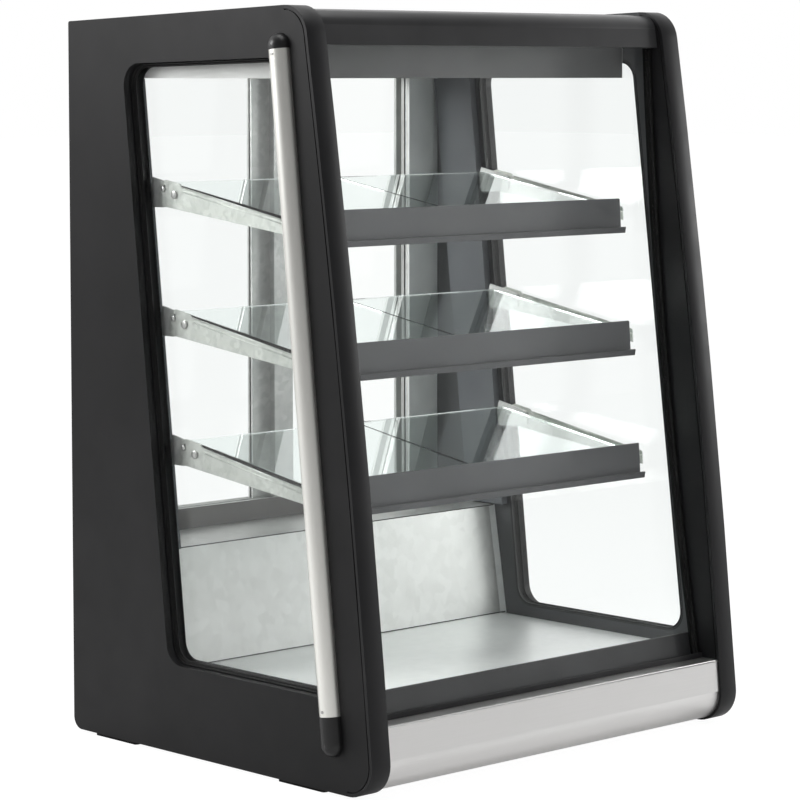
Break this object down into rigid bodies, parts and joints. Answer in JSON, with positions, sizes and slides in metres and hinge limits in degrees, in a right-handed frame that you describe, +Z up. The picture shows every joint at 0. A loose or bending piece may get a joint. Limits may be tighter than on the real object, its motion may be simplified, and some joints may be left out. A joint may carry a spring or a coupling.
{
  "type": "refrigerated display case",
  "caption": "Countertop refrigerated pastry display case with slanted front, glazed sides, tilting glass shelves and sliding rear doors.",
  "frame": {"origin": "middle of the case's footprint at the bottom of the rubber feet", "axes": "+Z up, -Y out of the sloping front pane towards the customer, +X to the customer's right"},
  "size_m": [0.6912, 0.572, 0.9403],
  "materials": {
    "case_black": "satin black powder coat",
    "band_black": "satin black powder coat",
    "rail_grey": "satin dark grey",
    "pane": "clear float glass",
    "gasket": "matte black rubber",
    "bar_satin": "satin anodised",
    "cap_black": "semi-gloss black",
    "screw": "zinc plated",
    "galvanised": "galvanised sheet",
    "stainless": "brushed stainless",
    "arm_steel": "satin zinc",
    "foam": "foam",
    "nylon": "nylon",
    "lamp": "opal",
    "lens": "clear diffuser",
    "fan_plastic": "black",
    "motor": "black enamel",
    "fin": "mill",
    "copper": "bare copper",
    "control_black": "black",
    "display": "tinted",
    "button_grey": "grey",
    "foot": "matte"
  },
  "bodies": {
    "case": {"left_side_panel": "case_black", "right_side_panel": "case_black", "edge_bands": "band_black", "side_window_panes": "pane", "side_window_gaskets": "gasket", "trim_bars": "bar_satin", "trim_bar_caps": "cap_black", "trim_bar_screws": "screw", "roof_panel": "case_black", "top_rail": "rail_grey", "ceiling_housing": "rail_grey", "insulation_foam": "foam", "lamp_tube": "lamp", "lamp_lens": "lens", "front_glass": "pane", "front_glass_seals": "gasket", "front_sill": "rail_grey", "front_trim": "stainless", "floor_deck": "stainless", "lower_back_wall": "galvanised", "base_tray": "galvanised", "liner_cheeks": "galvanised", "rear_frame": "rail_grey", "shelf_uprights": "case_black", "hook_plates": "arm_steel", "shelf_rivets": "screw", "compressor": "motor", "condenser_coil": "fin", "fan_shroud": "galvanised", "fan_motor": "motor", "evaporator_coil": "fin", "evaporator_motors": "motor", "copper_line": "copper", "rear_panel": "case_black", "controller": "control_black", "display_window": "display", "switch_body": "control_black", "power_inlet": "control_black", "rubber_feet": "foot"},
    "left_door": {"left_door_frame": "bar_satin", "left_door_glass": "pane", "left_door_glides": "nylon"},
    "right_door": {"right_door_frame": "bar_satin", "right_door_glass": "pane", "right_door_glides": "nylon"},
    "shelf_1": {"shelf_1_arms": "arm_steel", "shelf_1_glass": "pane", "shelf_1_rail": "rail_grey"},
    "shelf_2": {"shelf_2_arms": "arm_steel", "shelf_2_glass": "pane", "shelf_2_rail": "rail_grey"},
    "shelf_3": {"shelf_3_arms": "arm_steel", "shelf_3_glass": "pane", "shelf_3_rail": "rail_grey"},
    "condenser_fan": {"condenser_fan": "fan_plastic"},
    "left_evaporator_fan": {"left_evaporator_fan": "fan_plastic"},
    "right_evaporator_fan": {"right_evaporator_fan": "fan_plastic"},
    "button_up": {"button_up": "button_grey"},
    "button_down": {"button_down": "button_grey"},
    "switch_rocker": {"switch_rocker": "button_grey"}
  },
  "joints": [
    {"name": "left_door_slide", "type": "slide", "parent": "case", "child": "left_door", "axis": [1, 0, 0], "range_m": [0, 0.225]},
    {"name": "right_door_slide", "type": "slide", "parent": "case", "child": "right_door", "axis": [-1, 0, 0], "range_m": [0, 0.225]},
    {"name": "shelf_1_tilt", "type": "hinge", "parent": "case", "child": "shelf_1", "pos_m": [0, 0.11052, 0.707], "axis": [-1, 0, 0], "range_deg": [0, 9.5]},
    {"name": "shelf_2_tilt", "type": "hinge", "parent": "case", "child": "shelf_2", "pos_m": [0, 0.09181, 0.544], "axis": [-1, 0, 0], "range_deg": [0, 9.5]},
    {"name": "shelf_3_tilt", "type": "hinge", "parent": "case", "child": "shelf_3", "pos_m": [0, 0.07311, 0.381], "axis": [-1, 0, 0], "range_deg": [0, 9.5]},
    {"name": "condenser_fan_spin", "type": "hinge", "parent": "case", "child": "condenser_fan", "pos_m": [-0.211, 0.21002, 0.11], "axis": [1, 0, 0], "continuous": true},
    {"name": "left_evaporator_fan_spin", "type": "hinge", "parent": "case", "child": "left_evaporator_fan", "pos_m": [-0.14, -0.14399, 0.07], "axis": [0, 0, 1], "continuous": true},
    {"name": "right_evaporator_fan_spin", "type": "hinge", "parent": "case", "child": "right_evaporator_fan", "pos_m": [0.14, -0.14399, 0.07], "axis": [0, 0, 1], "continuous": true},
    {"name": "button_up_press", "type": "slide", "parent": "case", "child": "button_up", "axis": [0, -1, 0], "range_m": [0, 0.0015], "stiffness_N_per_m": 200},
    {"name": "button_down_press", "type": "slide", "parent": "case", "child": "button_down", "axis": [0, -1, 0], "range_m": [0, 0.0015], "stiffness_N_per_m": 200},
    {"name": "switch_rock", "type": "hinge", "parent": "case", "child": "switch_rocker", "pos_m": [-0.02, 0.28102, 0.214], "axis": [0, 0, 1], "range_deg": [-16, 0]}
  ]
}
